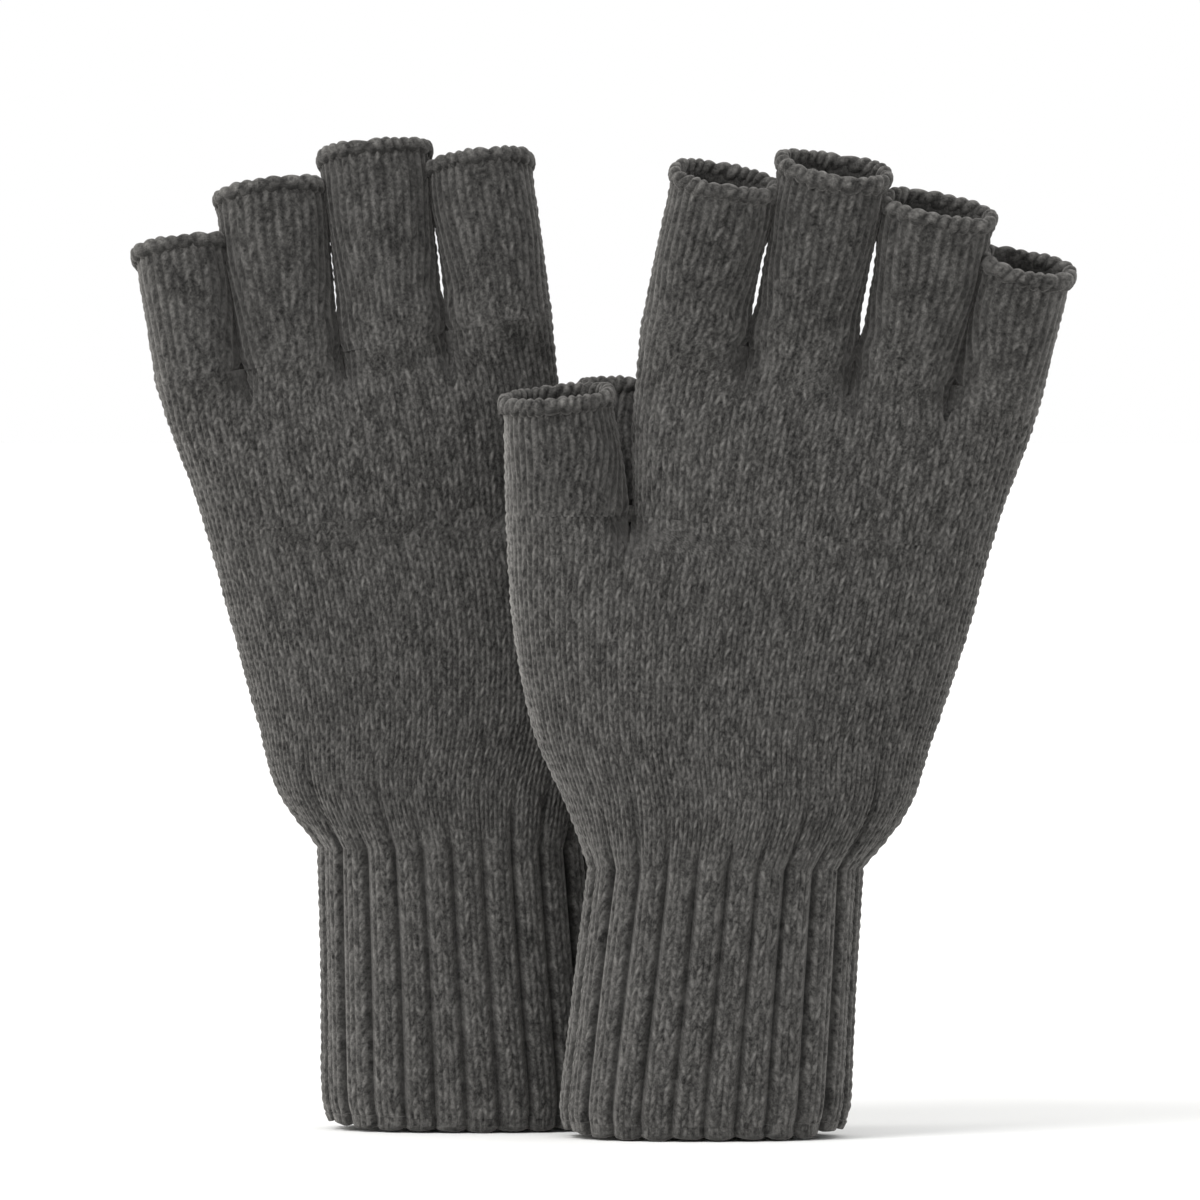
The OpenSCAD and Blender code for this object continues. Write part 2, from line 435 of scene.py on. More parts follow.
def row_between(low_edge, high_edge, height_at):
    """The two ends of a course whose height changes across the glove."""
    low, high = low_edge(height_at(0)), high_edge(height_at(0))
    for _ in range(6):
        low, high = low_edge(height_at(low)), high_edge(height_at(high))
    return float(low), float(high)


def face_profile(low, high, half, lobes, parted):
    """One face of a course, from low to high x: (x, y), the lobe that each point is in, and the
    length along the face as it is before it parts. A lobe is (start share, end share, half
    thickness); parted is 0 for one section and 1 for its lobes."""
    xs, ys, wholes, owners = [], [], [], []
    for number, (start, end, lobe_half) in enumerate(lobes):
        a, b = mix(low, high, start), mix(low, high, end)
        x = (a + b) / 2 - (b - a) / 2 * np.cos(np.linspace(0, np.pi, 61))
        whole = bulge(x, low, high, half)
        xs.append(x)
        ys.append(mix(whole, bulge(x, a, b, lobe_half), parted))
        wholes.append(whole)
        owners.append(np.full(len(x), number))
    xs, ys, wholes = np.concatenate(xs), np.concatenate(ys), np.concatenate(wholes)
    return np.stack((xs, ys), axis=1), np.concatenate(owners), arc_lengths(np.stack((xs, wholes), axis=1))


def around(face, back):
    """A closed course from its palm face and its back: the two share their end columns."""
    return np.concatenate((face[:-1], back[:0:-1]))


def round_wales(w):
    """The wales round a closed course, from those of its palm face."""
    return around(w, w + BACK)


class Hand:
    """The part of the hand between two forks: a tube of courses, which part into lobes at the top."""
    stretched_by = math.inf

    def __init__(self, glove, part):
        self.glove, self.part = glove, part
        if part == "lower_hand":
            _, fork_low, fork_high, fork_half = glove.upper_levels[0]
            width = glove.thumb_high[0] - fork_low
            self.first_course, self.courses = 0, THUMB_COURSE
            self.lobes = [
                (0, (fork_high - fork_low) / width, fork_half),
                ((glove.thumb_low[0] - fork_low) / width, 1, glove.thumb_half),
            ]
            self.lobe_wales = [PALM_WALES, self.stall_wales("thumb")]
            self.wales = (PALM_WALES[0], THUMB_SIDE_WALE)
        else:
            shares = glove.finger_shares
            self.first_course, self.courses = THUMB_COURSE, FINGER_COURSE - THUMB_COURSE
            self.lobes = [(a, b, glove.stall_half) for a, b in zip(shares, shares[1:])]
            self.lobe_wales = [self.stall_wales(finger) for finger in FINGERS]
            self.wales = PALM_WALES
        self.length = HAND_LENGTHS[part]

    @staticmethod
    def stall_wales(finger):
        middle, count = STALLS[finger]
        return middle - count / 2, middle + count / 2

    def row(self, up):
        """Ends, half thickness and height line of the course at a share of the way up."""
        g = self.glove
        if self.part == "lower_hand":
            def height(x):
                return up * g.fork_height(x)
            low, high = row_between(g.little_edge, g.thumb_edge, height)
            levels = g.lower_levels
            half = through(up * levels[-1, 0], levels[:, 0], levels[:, 3])
        else:
            def height(x):
                return mix(g.fork_height(x), g.knuckle_height(x), up)
            low, high = row_between(g.little_edge, g.index_edge, height)
            halves = [*g.upper_levels[:, 3], g.knuckle_half]
            half = through(up, (0, 0.45, 1), halves)
        return low, high, float(half), height

    def course(self, up, inset=0.0):
        """One closed course, palm face first: its points, their wales, the wales of the rib under
        them, and how much light the grooves between the lobes leave them."""
        low, high, half, height = self.row(up)
        parted = smoothstep(1 - (1 - up) * self.length / FORK_BLEND) ** FORK_SHARPNESS
        lobes = [(a, b, h - inset) for a, b, h in self.lobes]
        profile, owners, runs = face_profile(low + inset, high - inset, half - inset, lobes, parted)
        arcs = arc_lengths(profile)
        first, last = self.wales
        even = mix(first, last, runs / runs[-1])
        steered = np.interp(runs, *self.wale_posts(runs, owners))
        flat = mix(even, steered, up**2)
        own = np.zeros(len(runs))
        shade = np.ones(len(runs))
        for number, (a, b) in enumerate(self.lobe_wales):
            mine = owners == number
            span = runs[mine]
            own[mine] = mix(a, b, (span - span[0]) / (span[-1] - span[0]))
            if number:
                from_fork = (profile[:, 0] - profile[mine][0, 0]) / FORK_GROOVE
                shade *= 1 - FORK_SHADE_STRENGTH * parted**FORK_SHADE * np.exp(-from_fork**2)
        pattern = mix(flat, own, parted)
        columns = np.linspace(first, last, round((last - first) * COLUMNS) + 1)
        spots = mix(first, last, arcs / arcs[-1])
        x, y, w, light = (np.interp(columns, spots, values) for values in (*profile.T, pattern, shade))
        face = np.stack((x, y, height(x)), axis=1)
        return around(face, face * (1, -1, 1)), round_wales(w), round_wales(columns), around(light, light)

    def wale_posts(self, runs, owners):
        """Lengths along the course, and the wales that have to be there: the seams and lobe middles."""
        posts, wales = [0.0], [self.wales[0]]
        if self.part == "upper_hand":
            for number, (a, b) in enumerate(self.lobe_wales):
                span = runs[owners == number]
                posts.append((span[0] + span[-1]) / 2)
                wales.append((a + b) / 2)
        else:
            posts.append(runs[owners == 0][-1])
            wales.append(PALM_WALES[1])
        posts.append(runs[-1])
        wales.append(self.wales[1])
        return posts, wales


class Stall:
    """A finger's or thumb's open tube, from its fold line to its rim."""
    stretched_by = 0.3    # share of the way up where the finger has stretched it

    def __init__(self, glove, finger):
        self.glove, self.finger = glove, finger
        low, high, self.half = glove.base_ring(finger)
        if finger != "thumb":
            shares = glove.finger_shares
            i = FINGERS.index(finger)
            low = mix(glove.knuckle_low, glove.knuckle_high, shares[i])
            high = mix(glove.knuckle_low, glove.knuckle_high, shares[i + 1])
            whole = np.linalg.norm(glove.knuckle_high - glove.knuckle_low)
            self.hand_section = (-whole * shares[i], whole * (1 - shares[i]), glove.knuckle_half)
            slits = (1.0, *SLITS[glove.side], 1.0)
            self.slits = slits[i], slits[i + 1]
            self.beside = (finger != "little", finger != "index")
        else:
            self.slits = (0.0, 0.0)
            _, fork_low, _, fork_half = glove.upper_levels[0]
            self.hand_section = (fork_low - low[0], high[0] - low[0], fork_half)
            self.beside = (True, False)
        self.base = (low + high) / 2
        self.base_across = unit(high - low)
        self.base_width = np.linalg.norm(high - low)
        mouth = MOUNTS[f"{glove.side}_{finger}_mouth"]
        self.way = glove.axes @ np.array(mouth["axis"], float)
        self.across = unit(np.cross((0, 1, 0), self.way))
        self.thick = np.cross(self.way, self.across)
        self.mouth = glove.local(mouth["pos_m"])[0]
        points = glove.vertices(finger + "_stall") - self.mouth
        end = points[points @ self.way > (points @ self.way).max() - 0.3]
        self.tip_width = np.ptp(end @ self.across)
        self.tip_half = np.ptp(end @ self.thick) / 2
        self.length = (self.mouth - self.base) @ self.way
        self.fabric_length = self.length + (points @ self.way).max() + TUCK
        self.middle_wale, self.count = STALLS[finger]
        self.courses = round(self.fabric_length / COURSE)
        self.first_course = (THUMB_COURSE if finger == "thumb" else FINGER_COURSE) - TUCK / COURSE

    def section(self, up):
        """Middle, across, thickness direction, half width and half thickness, at a share of the way
        up. The sides that have a stall beside them swell against it."""
        turn = smoothstep(up / STALL_TURN)
        across = unit(mix(self.base_across, self.across, turn))
        thick = unit(mix(np.array((0.0, 1.0, 0.0)), self.thick, turn))
        at_fork, above_fork, by_rim = STALL_SWELL
        swell = at_fork + above_fork * smoothstep(up / SWELL_HEIGHT) + by_rim * smoothstep(up)
        halfway = smoothstep((up - SLIT_START) / SLIT_OPENING) * smoothstep((SLIT_END - up) / SLIT_CLOSING)
        left, right = (swell * side * (1 - slit * halfway) for side, slit in zip(self.beside, self.slits))
        half_width = (mix(self.base_width, self.tip_width, up) + left + right) / 2
        middle = self.base + self.way * (self.fabric_length * up - TUCK) + across * (right - left) / 2
        return middle, across, thick, half_width, mix(self.half, self.tip_half, up)

    def wales_passed(self, x):
        """Share of the stall's wales passed at x, from -1 to 1, as the hand's last course has them."""
        x = (x + 1) / 2 * self.base_width
        runs = arc_lengths(np.stack((x, bulge(x, *self.hand_section)), axis=1))
        return runs / runs[-1]

    def course(self, up, inset=0.0, columns=COLUMNS):
        middle, across, thick, half_width, half = self.section(up)
        half_width, half = half_width - inset, half - inset
        profile, _, _ = face_profile(-half_width, half_width, half, [(0, 1, half)], 1.0)
        arcs = arc_lengths(profile)
        x_share = profile[:, 0] / half_width
        passed = mix(self.wales_passed(x_share), arcs / arcs[-1], smoothstep(up / 0.7))
        first = self.middle_wale - self.count / 2
        shade = np.ones(len(arcs))
        for side, neighbour in zip((-1, 1), self.beside):
            near = neighbour * np.exp(-((x_share - side) * half_width / FORK_GROOVE) ** 2)
            shade *= 1 - FORK_SHADE_STRENGTH * near * (1 - 0.5 * up)
        shade *= 1 - RIM_SHADOW * smoothstep(1 - (1 - up) * self.fabric_length / RIM_SHADOW_REACH)
        spots = np.linspace(0, 1, self.count * columns + 1)
        x, y, w, light = (
            np.interp(spots, arcs / arcs[-1], values)
            for values in (*profile.T, first + passed * self.count, shade)
        )
        x, y = x[:, None], y[:, None]
        arch = STALL_ARCH * up**3
        face = middle + across * x + thick * y - self.way * arch * (1 + y / half)
        back = middle + across * x - thick * y - self.way * arch * (1 - y / half)
        return around(face, back), round_wales(w), round_wales(w), around(light, light)


class Cuff:
    """The ribbed tube, from the wrist down to the hem."""
    stretched_by = math.inf

    def __init__(self, glove):
        self.glove = glove
        self.levels = glove.cuff_levels
        self.length = glove.cuff_levels[-1, 0] - glove.cuff_levels[0, 0]
        self.courses = round(self.length / COURSE)
        self.first_course = -self.courses

    def course(self, up, inset=0.0):
        levels = self.levels
        z = mix(levels[0, 0], 0.0, up)
        drawn = HEM_DRAW * math.exp((levels[0, 0] - z) / HEM_CURVE)
        low = through(z, levels[:, 0], levels[:, 1]) + inset + drawn
        high = through(z, levels[:, 0], levels[:, 2]) - inset - drawn
        half = through(z, levels[:, 0], levels[:, 3]) - inset
        profile, _, _ = face_profile(low, high, half, [(0, 1, half)], 1.0)
        arcs = arc_lengths(profile)
        spots = np.linspace(0, RIBS, RIBS * RIB_COLUMNS + 1)
        x, y = (np.interp(spots, RIBS * arcs / arcs[-1], values) for values in profile.T)
        face = np.stack((x, y, np.full(len(x), z)), axis=1)
        wales = mix(PALM_WALES[0], THUMB_SIDE_WALE, spots / RIBS)
        ribs = around(spots, spots + BACK_RIBS)
        return around(face, face * (1, -1, 1)), round_wales(wales), ribs, np.ones(len(ribs))


# ---------------------------------------------------------------- meshes

def grid_normals(points):
    """Outward unit normals of a closed tube's grid, rows going up."""
    round_way = np.roll(points, -1, axis=1) - np.roll(points, 1, axis=1)
    up_way = np.gradient(points, axis=0)
    normals = np.cross(up_way, round_way)
    lengths = np.linalg.norm(normals, axis=2, keepdims=True)
    normals = normals / np.maximum(lengths, 1e-9)
    outward = points - points.mean(axis=1, keepdims=True)
    return normals if (normals * outward).sum() > 0 else -normals


def level_normals(points):
    """Outward unit normals of each course within its own plane."""
    spokes = points - points.mean(axis=1, keepdims=True)
    facing = np.cross(spokes, np.roll(spokes, -1, axis=1)).sum(axis=1, keepdims=True)
    round_way = np.roll(points, -1, axis=1) - np.roll(points, 1, axis=1)
    return unit(np.cross(round_way, facing))


def seam_normals(points):
    """Normals that turn level at both edges of a tube, so that neighbouring tubes' edges meet."""
    row = np.arange(len(points))
    to_edge = np.minimum(row, len(points) - 1 - row) / (2 * ROWS)
    return unit(mix(level_normals(points), grid_normals(points), smoothstep(to_edge)[:, None, None]))


def tube_quads(rows, columns, start, inward=False):
    """Faces of an open tube, whose points are numbered row by row from start."""
    r, c = np.meshgrid(np.arange(rows - 1), np.arange(columns), indexing="ij")
    here = start + r * columns + c
    beside = start + r * columns + (c + 1) % columns
    quads = np.stack((here, beside, beside + columns, here + columns), axis=-1).reshape(-1, 4)
    return quads[:, ::-1] if inward else quads


def edge_faces(outer_start, outer_count, inner_start, at_top):
    """Joins an outer loop to an inner loop that has half as many points."""
    i = np.arange(outer_count // 2)
    o0, o1 = outer_start + 2 * i, outer_start + 2 * i + 1
    o2 = outer_start + (2 * i + 2) % outer_count
    i0, i1 = inner_start + i, inner_start + (i + 1) % (outer_count // 2)
    triangles = np.stack((o0, o1, i0), axis=1)
    quads = np.stack((o1, o2, i1, i0), axis=1)
    return (triangles, quads) if at_top else (triangles[:, ::-1], quads[:, ::-1])


def enclosed(points, faces):
    """Volume that closed faces hold: negative when they face inwards."""
    a, b, c = (points[faces[:, corner]] for corner in range(3))
    volume = (a * np.cross(b, c)).sum()
    return volume + enclosed(points, faces[:, (0, 2, 3)]) if faces.shape[1] == 4 else volume


NO_TRIANGLES = np.zeros((0, 3), int)


def put(name, data):
    """A new object in the scene."""
    thing = bpy.data.objects.new(name, data)
    bpy.context.scene.collection.objects.link(thing)
    return thing


def mesh_object(node, slot, glove, points, quads, triangles=NO_TRIANGLES):
    """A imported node's piece: a closed mesh from the glove's own points, whose faces look outwards."""
    points = glove.world(points)
    if enclosed(points, quads) + enclosed(points, triangles) < 0:
        quads, triangles = quads[:, ::-1], triangles[:, ::-1]
    mesh = bpy.data.meshes.new(node)
    loops = np.concatenate((quads.ravel(), triangles.ravel()))
    starts = np.concatenate((
        np.arange(len(quads)) * 4,
        len(quads) * 4 + np.arange(len(triangles)) * 3,
    ))
    mesh.vertices.add(len(points))
    mesh.vertices.foreach_set("co", points.astype(np.float32).ravel())
    mesh.loops.add(len(loops))
    mesh.loops.foreach_set("vertex_index", loops.astype(np.int32))
    mesh.polygons.add(len(starts))
    mesh.polygons.foreach_set("loop_start", starts.astype(np.int32))
    mesh.update(calc_edges=True)
    mesh.shade_smooth()
    mesh.materials.append(MATERIALS[slot])
    piece = put(node, mesh)
    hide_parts(node)
    return piece


def crease(piece, *rings):
    """Marks the edges inside each range of points as sharp, so that a seam isn't shaded round."""
    mesh = piece.data
    ends = np.zeros(len(mesh.edges) * 2, np.int32)
    mesh.edges.foreach_get("vertices", ends)
    ends = ends.reshape(-1, 2)
    sharp = np.zeros(len(ends), bool)
    for first, last in rings:
        sharp |= ((ends >= first) & (ends < last)).all(axis=1)
    mesh.attributes.new("sharp_edge", "BOOLEAN", "EDGE").data.foreach_set("value", sharp)


def store(piece, yarn, painted_shading, tone):
    """Keeps what the wool's look needs at each vertex: its place in the yarn, its painted light and shade,
    deepest in the grooves, at the forks and under the rims, and its leg's tone. The last two may be one number for
    the whole piece."""
    attributes, count = piece.data.attributes, len(piece.data.vertices)
    vectors = np.asarray(yarn, np.float32).ravel()
    attributes.new("yarn", "FLOAT_VECTOR", "POINT").data.foreach_set("vector", vectors)
    for name, values in (("painted_shading", painted_shading), ("tone", tone)):
        numbers = np.broadcast_to(values, count).astype(np.float32)
        attributes.new(name, "FLOAT", "POINT").data.foreach_set("value", numbers)


def knitted_tube(node, slot, glove, shape, place, rib_of):
    """A tube of fabric with a stitched outside and a plain inside, closed at both edges."""
    rows = shape.courses * ROWS + 1
    ups = np.linspace(0, 1, rows)
    grid = [shape.course(up) for up in ups]
    points, w, spot, light = (np.array(values) for values in zip(*grid))
    c = shape.first_course + ups[:, None] * shape.courses + 0 * w
    stretch = smoothstep(ups / shape.stretched_by)[:, None]
    height, level, tone = fabric(w, c, rib_of(spot), points, stretch)
    outside = points + seam_normals(points) * height[:, :, None]
    inside = np.array([shape.course(up, WALL)[0][::2] for up in ups[::ROWS]])
    columns, inner_columns, inner_rows = points.shape[1], inside.shape[1], len(inside)
    inner_start = rows * columns
    top_ring = (rows - 1) * columns
    bottom = edge_faces(0, columns, inner_start, at_top=False)
    top = edge_faces(top_ring, columns, inner_start + (inner_rows - 1) * inner_columns, at_top=True)
    quads = np.concatenate((
        tube_quads(rows, columns, 0),
        tube_quads(inner_rows, inner_columns, inner_start, inward=True),
        bottom[1],
        top[1],
    ))
    everything = np.concatenate((outside.reshape(-1, 3), inside.reshape(-1, 3)))
    piece = mesh_object(node, slot, glove, everything, quads, np.concatenate((bottom[0], top[0])))
    crease(piece, (0, columns), (top_ring, inner_start))
    yarn = (place(w, c), place(w[::ROWS, ::2], c[::ROWS, ::2]))
    inner_count = inner_rows * inner_columns
    store(
        piece,
        np.concatenate([part.reshape(-1, 3) for part in yarn]),
        np.concatenate(((level * light).ravel(), np.full(inner_count, INNER_RELIEF))),
        np.concatenate((tone.ravel(), np.full(inner_count, INNER_TONE))),
    )
    return piece


def ring_cord(node, glove, loop, normals, wales, shape):
    """A closed ring of fabric round a loop. At (wale, turn), shape gives how far each point stands
    out and up from the loop, in millimetres, and its painted shade."""
    count = len(loop)
    turn = np.linspace(0, 2 * np.pi, RIM_SIDES, endpoint=False) + np.zeros((count, 1))
    along = np.roll(loop, -1, axis=0) - np.roll(loop, 1, axis=0)
    ups = unit(np.cross(along, normals))
    w = wales[:, None] + np.zeros(RIM_SIDES)
    out, rise, level = shape(w, turn)
    points = loop[:, None] + out[..., None] * normals[:, None] + rise[..., None] * ups[:, None]
    quads = ring_quads(count, RIM_SIDES, 0)
    piece = mesh_object(node, "edge_yarn", glove, points.reshape(-1, 3), quads)
    tone = LEG_TONE[np.floor(2 * w).astype(int) % TONE_WALES, np.floor(turn).astype(int)]
    store(piece, np.stack((w * WALE, turn * CORD_GIRTH, w), axis=-1), level.ravel(), tone.ravel())
    return piece


def ring_quads(count, sides, start):
    """Faces of a closed ring that has a number of sides: a tube whose last row is its first."""
    return start + tube_quads(count + 1, sides, 0)[:, (0, 3, 2, 1)] % (count * sides)


def rounded_square(turn, power):
    """Where a turn lies on a square with round corners: across and up, from -1 to 1."""
    across, up = np.cos(turn), np.sin(turn)
    return np.sign(across) * np.abs(across) ** power, np.sign(up) * np.abs(up) ** power


# ---------------------------------------------------------------- what each knitted part looks like

def rib_under(wale):
    """The rib that a wale of the lower hand grows out of."""
    return (wale - PALM_WALES[0]) / (THUMB_SIDE_WALE - PALM_WALES[0]) * RIBS


def rib_place(wale, c):
    return yarn_place(2 * rib_under(wale), c)


def make_rim(glove, stall):
    """The cast-off edge: it rolls outwards, and each wale ends in a small slanted loop."""
    loop, wales, _, _ = stall.course(1.0, columns=RIM_COLUMNS)
    below = stall.course(0.96, columns=RIM_COLUMNS)[0]
    normals = grid_normals(np.array((below, loop)))[1]
    rim_height = stall.length + TUCK - stall.fabric_length
    spread = np.abs((loop - loop.mean(axis=0)) @ stall.across)
    flare = RIM_FLARE * smoothstep(2.5 * spread / spread.max() - 1.5)
    centre = loop + normals * (flare - WALL * 0.5)[:, None] + stall.way * rim_height * 0.25

    def rolled(w, turn):
        across, up = rounded_square(turn, 0.85)
        knot = np.abs(np.cos(np.pi * (RIM_LOOPS * w + 0.6 * wander(w * 5, turn * 2) + 0.25 * np.sin(turn))))
        uneven = wander(w * 9.1 + 3 * stall.middle_wale, 2.6 * np.cos(turn) + w)
        swell = 0.72 + 0.3 * knot**0.8 + 0.14 * uneven
        lip = RIM_LIP * wander(w * 2.3 + stall.middle_wale, w * 0.7)
        # Painted light and shade: the knots' tops paler, the roll's underside darker.
        lit = (0.05 + 0.8 * knot + 0.15 * uneven) * smoothstep(0.75 + 0.9 * up)
        return RIM_RADIUS * across * swell, (0.85 * rim_height * up + lip) * swell, lit
    return ring_cord(f"{glove.side}_{stall.finger}_rim", glove, centre, normals, wales, rolled)


def make_hem(glove, cuff):
    """The bound start of the rib: each ridge turns in under itself at the bottom edge."""
    loop, wales, ribs, _ = cuff.course(0.0)
    above = cuff.course(0.04)[0]
    normals = grid_normals(np.array((loop, above)))[0]
    depth = cuff.levels[0, 0] + glove.origin[2] / MM
    surface, level, _ = fabric(wales, np.full(len(ribs), float(cuff.first_course)), ribs, loop)
    half = (WALL + surface) / 2
    centre = loop + normals * (surface - half)[:, None] - np.array((0, 0, depth / 2))
    spread = np.abs(loop[:, 0] - loop[:, 0].mean())
    corner = HEM_CORNER * (spread / spread.max()) ** 12

    def bound(w, turn):
        across, up = rounded_square(turn, np.where(np.sin(turn) > 0, 0.15, 0.7))
        scallop = SCALLOP * (0.5 - rib_shape(rib_under(w))) + HEM_UNEVENNESS * (1 + wander(w * 3, w))
        scallop = np.minimum(scallop + corner[:, None], depth - HEM_LEAST)
        rise = np.where(up < 0, depth / 2 - scallop, depth / 2 + HEM_TUCK) * up
        across = across * (1 - 0.08 * smoothstep(up + 0.2))
        out = half[:, None] * across - 0.6 * corner[:, None] * smoothstep(0.2 - up)
        # Painted shade: the rib's groove shading, darker still on the hem's underside.
        return out, rise, level[:, None] * smoothstep(1.1 + up) + 0 * turn
    return ring_cord(glove.side + "_cuff_hem", glove, centre, normals, wales, bound)


def make_elastic(glove, cuff):
    """The elastic threads: thin rings that lie in the rib's inner side."""
    heights = np.round(glove.vertices("cuff_elastic")[:, 2], 2)
    bottoms = [h for h in np.unique(heights) if not ((heights > h - 1.5) & (heights < h - 0.2)).any()]
    turns = np.linspace(0, 2 * np.pi, THREAD_SIDES, endpoint=False)[None, :, None]
    rings, quads, yarn = [], [], []
    for number, bottom in enumerate(bottoms):
        up = 1 - (bottom + THREAD) / cuff.levels[0, 0]
        loop, _, ribs, _ = (values[::4] for values in cuff.course(up, WALL + 0.1))
        outward = unit(loop - loop.mean(axis=0))
        across = np.cos(turns) * outward[:, None] + np.sin(turns) * np.array((0, 0, 1))
        rings.append((loop[:, None] + THREAD * across).reshape(-1, 3))
        quads.append(ring_quads(len(loop), THREAD_SIDES, number * len(loop) * THREAD_SIDES))
        yarn.append(np.stack(np.broadcast_arrays(ribs[:, None] * 7, turns[0, :, 0], number), axis=-1))
    piece = mesh_object(glove.side + "_cuff_elastic", "elastic", glove,
                        np.concatenate(rings), np.concatenate(quads))
    store(piece, np.concatenate([part.reshape(-1, 3) for part in yarn]), painted_shading=0.6, tone=0.5)
    return piece


def tack_tube(fork, offset):
    """One stitch over a fork: a tube's grid of points, and the middles of its two ends."""
    angles = np.linspace(-TACK_ARC, TACK_ARC, TACK_STEPS)
    path = np.stack((
        np.full(TACK_STEPS, offset) + 0.5 * angles / np.pi,
        TACK_REACH * np.sin(angles),
        TACK_HEIGHT * np.cos(angles) - TACK_SINK,
    ), axis=1) + fork
    along = unit(np.gradient(path, axis=0))
    side = unit(np.cross(along, (1, 0, 0)))
    other = np.cross(along, side)
    turns = np.linspace(0, 2 * np.pi, TACK_SIDES, endpoint=False)[None, :, None]
    radius = TACK * np.sin(np.linspace(0.15, 0.85, TACK_STEPS) * np.pi)[:, None, None] ** 0.3
    tube = path[:, None] + radius * (np.cos(turns) * side[:, None] + np.sin(turns) * other[:, None])
    return tube.reshape(-1, 3), path[[0, -1]]


def make_tacks(glove):
    """Small overcast stitches that hold the front and back together at each fork."""
    forks = [mix(glove.knuckle_low, glove.knuckle_high, share) for share in glove.finger_shares[1:-1]]
    forks.append(np.array(((glove.upper_levels[0][2] + glove.thumb_low[0]) / 2, 0, glove.upper_levels[0][0])))
    points, quads, triangles = [], [], []
    first_ring = np.arange(TACK_SIDES)
    next_one = (first_ring + 1) % TACK_SIDES
    last_ring = (TACK_STEPS - 1) * TACK_SIDES
    hubs = np.full((2, TACK_SIDES), TACK_STEPS * TACK_SIDES) + ((0,), (1,))
    caps = np.concatenate((
        np.stack((next_one, first_ring, hubs[0]), axis=1),
        np.stack((last_ring + first_ring, last_ring + next_one, hubs[1]), axis=1),
    ))
    for fork in forks:
        for offset in (-TACK_SPACING, 0.0, TACK_SPACING):
            start = sum(len(p) for p in points)
            points += tack_tube(fork, offset)
            quads.append(tube_quads(TACK_STEPS, TACK_SIDES, start))
            triangles.append(start + caps)
    points = np.concatenate(points)
    piece = mesh_object(glove.side + "_fork_tacks", "edge_yarn", glove,
                        points, np.concatenate(quads), np.concatenate(triangles))
    store(piece, points[:, (1, 2, 0)], painted_shading=0.8, tone=0.6)
    return piece


# ---------------------------------------------------------------- materials

LEG_SHARE = 0.13      # how much a leg's own tone counts in its colour


def node_of(tree, kind, **values):
    node = tree.nodes.new(kind)
    for name, value in values.items():
        setattr(node, name, value)
    return node


def set_inputs(node, values):
    for name, value in values.items():
        node.inputs[name].default_value = value


def noise(tree, vector, scale, detail, roughness=0.6):
    node = node_of(tree, "ShaderNodeTexNoise")
    set_inputs(node, {"Scale": scale, "Detail": detail, "Roughness": roughness})
    tree.links.new(vector, node.inputs["Vector"])
    return node.outputs["Fac"]


def stretched(tree, vector, scale):
    node = node_of(tree, "ShaderNodeMapping")
    node.inputs["Scale"].default_value = scale
    tree.links.new(vector, node.inputs["Vector"])
    return node.outputs["Vector"]


def blended(tree, a, b, share):
    node = node_of(tree, "ShaderNodeMix", data_type="FLOAT")
    node.inputs[0].default_value = share
    tree.links.new(a, node.inputs[2])
    tree.links.new(b, node.inputs[3])
    return node.outputs[0]


def wool(name, dark, light, groove_shade, sheen=0.3):
    """Heathered wool: pale and dark fibres drawn out along each strand, with painted shade deepening the grooves.
    """
    material = bpy.data.materials.new(name)
    material.use_nodes = True
    tree = material.node_tree
    link = tree.links.new
    shader = tree.nodes["Principled BSDF"]
    yarn = node_of(tree, "ShaderNodeAttribute", attribute_name="yarn").outputs["Vector"]
    painted_shading = node_of(tree, "ShaderNodeAttribute", attribute_name="painted_shading").outputs["Fac"]
    place = node_of(tree, "ShaderNodeTexCoord").outputs["Object"]

    fibres = noise(tree, stretched(tree, yarn, (1.1, 3.4, 3.7)), 1.0, 3.0)
    flecks = noise(tree, stretched(tree, yarn, (0.5, 1.2, 1.9)), 1.0, 2.0)
    tone_of_leg = node_of(tree, "ShaderNodeAttribute", attribute_name="tone").outputs["Fac"]
    specks = noise(tree, place, 1050.0, 3.0, 0.75)
    strands = blended(tree, fibres, flecks, 0.5)
    heather = blended(tree, strands, specks, 0.6)
    mottled = blended(tree, heather, tone_of_leg, LEG_SHARE)
    tone = node_of(tree, "ShaderNodeValToRGB")
    ramp = tone.color_ramp
    ramp.elements[0].position, ramp.elements[0].color = 0.37, (*dark, 1)
    ramp.elements[1].position, ramp.elements[1].color = 0.66, (*light, 1)
    middle = ramp.elements.new(0.5)
    middle.color = (*[a * 0.62 + b * 0.38 for a, b in zip(dark, light)], 1)
    link(mottled, tone.inputs["Fac"])

    # Painted shade: the colour darkens in the grooves, from how far each point stands out of its groove.
    depth = node_of(tree, "ShaderNodeMapRange", clamp=False)
    set_inputs(depth, {"From Max": 0.85, "To Min": groove_shade, "To Max": 1.15})
    link(painted_shading, depth.inputs["Value"])
    shade = node_of(tree, "ShaderNodeVectorMath", operation="SCALE")
    link(tone.outputs["Color"], shade.inputs[0])
    link(depth.outputs["Result"], shade.inputs["Scale"])
    link(shade.outputs["Vector"], shader.inputs["Base Color"])

    bump = node_of(tree, "ShaderNodeBump")
    set_inputs(bump, {"Strength": 0.7, "Distance": 0.0004})
    link(blended(tree, noise(tree, stretched(tree, yarn, (1.2, 7.0, 7.0)), 1.0, 3.0), fibres, 0.4),
         bump.inputs["Height"])
    link(bump.outputs["Normal"], shader.inputs["Normal"])

    set_inputs(shader, {
        "Roughness": 0.95,
        "Specular IOR Level": 0.15,
        "Sheen Weight": sheen,
        "Sheen Roughness": 0.5,
        "Sheen Tint": (0.95, 0.92, 0.88, 1),
    })
    return material


